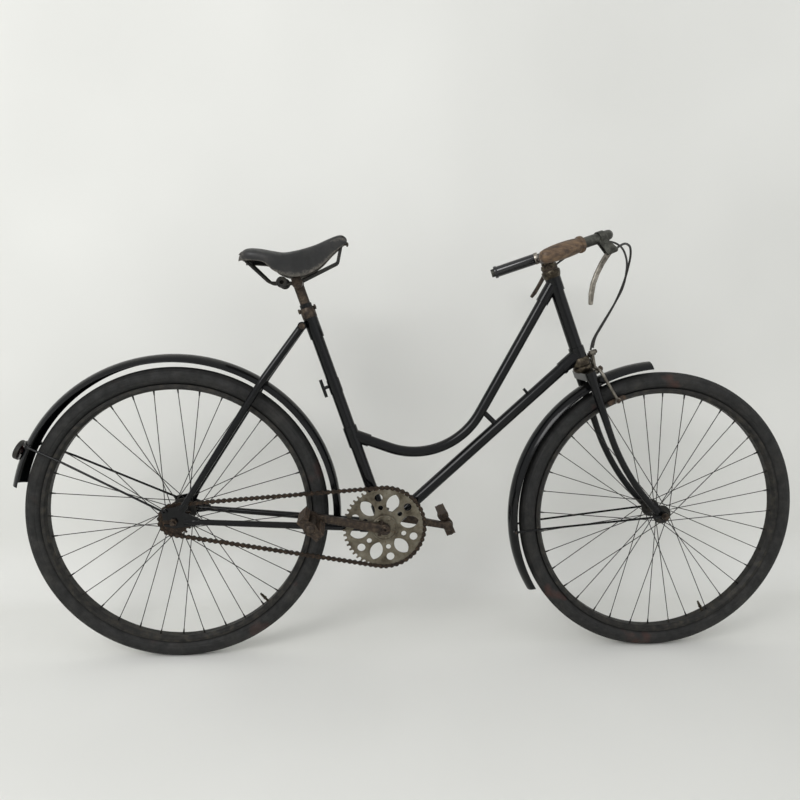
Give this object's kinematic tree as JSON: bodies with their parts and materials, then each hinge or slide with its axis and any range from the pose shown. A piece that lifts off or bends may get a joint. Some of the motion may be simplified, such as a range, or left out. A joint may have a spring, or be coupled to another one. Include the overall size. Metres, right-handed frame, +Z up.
{
  "type": "loop frame roadster bicycle",
  "caption": "Old loop frame roadster bicycle with wire wheels, mudguards, fretted chainring, chain drive, swept back handlebar and leather saddle.",
  "frame": {"origin": "where the rider sits, on top of the saddle leather in the middle plane", "axes": "+X forward, +Y to the bicycle's left, away from the chain, +Z up"},
  "size_m": [1.9196, 0.5091, 1.042],
  "materials": {
    "black_enamel": "worn gloss enamel, chipped, with a little rust",
    "rusted_steel": "bare steel with a thin brown rust film",
    "dull_nickel": "dull nickel plate with rust freckles",
    "dark_steel": "dark tarnished steel wire",
    "dusty_tyre": "dusty perished dark grey rubber",
    "black_leather": "hard dark grey leather, scuffed",
    "brown_grip": "perished brown grip, rough",
    "black_grip": "smooth glossy black grip",
    "pedal_rubber": "worn dark rubber",
    "chain_brown": "oily brown black chain",
    "bright_steel": "bare bright steel",
    "cable_black": "matt black cable housing",
    "reflector_red": "dark red reflector lens"
  },
  "bodies": {
    "frame": {"head_tube": "black_enamel", "bottom_bracket_shell": "black_enamel", "bottom_bracket_cups": "rusted_steel", "seat_tube": "black_enamel", "seat_lug": "black_enamel", "loop_tube": "black_enamel", "loop_lug": "black_enamel", "down_tube": "black_enamel", "tube_brace": "black_enamel", "rear_fork_ends": "black_enamel", "chain_stay_right": "black_enamel", "chain_stay_left": "black_enamel", "seat_stay_right": "black_enamel", "seat_stay_left": "black_enamel", "stay_bolt": "rusted_steel", "seat_post": "rusted_steel", "saddle_clamp": "rusted_steel", "saddle_leather": "black_leather", "rear_axle": "rusted_steel", "chain": "chain_brown", "rear_mudguard": "black_enamel", "stay_bridges": "black_enamel", "saddle_frame": "dull_nickel", "rear_guard_stays": "black_enamel", "rear_reflector": "reflector_red", "pump_peg": "black_enamel"},
    "steering": {"fork_crown": "black_enamel", "head_bearings": "rusted_steel", "fork_blade_right": "black_enamel", "fork_blade_left": "black_enamel", "front_axle": "rusted_steel", "top_nut": "rusted_steel", "handlebar_stem": "rusted_steel", "handlebar": "rusted_steel", "grip_right": "brown_grip", "grip_left": "black_grip", "front_mudguard": "black_enamel", "front_guard_stays": "black_enamel", "brake_lever_right": "bright_steel", "brake_lever_left": "rusted_steel", "brake_cables": "cable_black", "front_brake": "bright_steel", "front_brake_blocks": "pedal_rubber"},
    "front_wheel": {"front_tyre": "dusty_tyre", "front_rim": "dark_steel", "front_hub": "dark_steel"},
    "rear_wheel": {"rear_tyre": "dusty_tyre", "rear_rim": "dark_steel", "rear_hub": "dark_steel"},
    "sprocket": {"rear_sprocket": "chain_brown"},
    "crankset": {"chainring": "dull_nickel", "crank_right": "rusted_steel", "crank_left": "rusted_steel", "crank_axle": "rusted_steel"},
    "pedal_right": {"pedal_cage_right": "rusted_steel", "pedal_rubbers_right": "pedal_rubber"},
    "pedal_left": {"pedal_cage_left": "rusted_steel", "pedal_rubbers_left": "pedal_rubber"}
  },
  "joints": [
    {"name": "steering", "type": "hinge", "parent": "frame", "child": "steering", "pos_m": [0.87138, 0, -0.64709], "axis": [-0.3665, 0, 0.9304], "range_deg": [-55, 55]},
    {"name": "front_wheel_spin", "type": "hinge", "parent": "steering", "child": "front_wheel", "pos_m": [0.93, 0, -0.624], "axis": [0, 1, 0], "continuous": true},
    {"name": "rear_wheel_spin", "type": "hinge", "parent": "frame", "child": "rear_wheel", "pos_m": [-0.256, 0, -0.624], "axis": [0, 1, 0], "continuous": true},
    {"name": "crank_spin", "type": "hinge", "parent": "frame", "child": "crankset", "pos_m": [0.234, 0, -0.646], "axis": [0, 1, 0], "continuous": true},
    {"name": "sprocket_spin", "type": "hinge", "parent": "frame", "child": "sprocket", "pos_m": [-0.256, 0, -0.624], "axis": [0, 1, 0], "continuous": true},
    {"name": "pedal_right_spin", "type": "hinge", "parent": "crankset", "child": "pedal_right", "pos_m": [0.06297, -0.1, -0.61399], "axis": [0, 1, 0], "continuous": true},
    {"name": "pedal_left_spin", "type": "hinge", "parent": "crankset", "child": "pedal_left", "pos_m": [0.40503, 0.1, -0.67801], "axis": [0, 1, 0], "continuous": true}
  ],
  "couplings": [
    {"joint": "sprocket_spin", "follows": "crank_spin", "ratio": 2.6667}
  ]
}
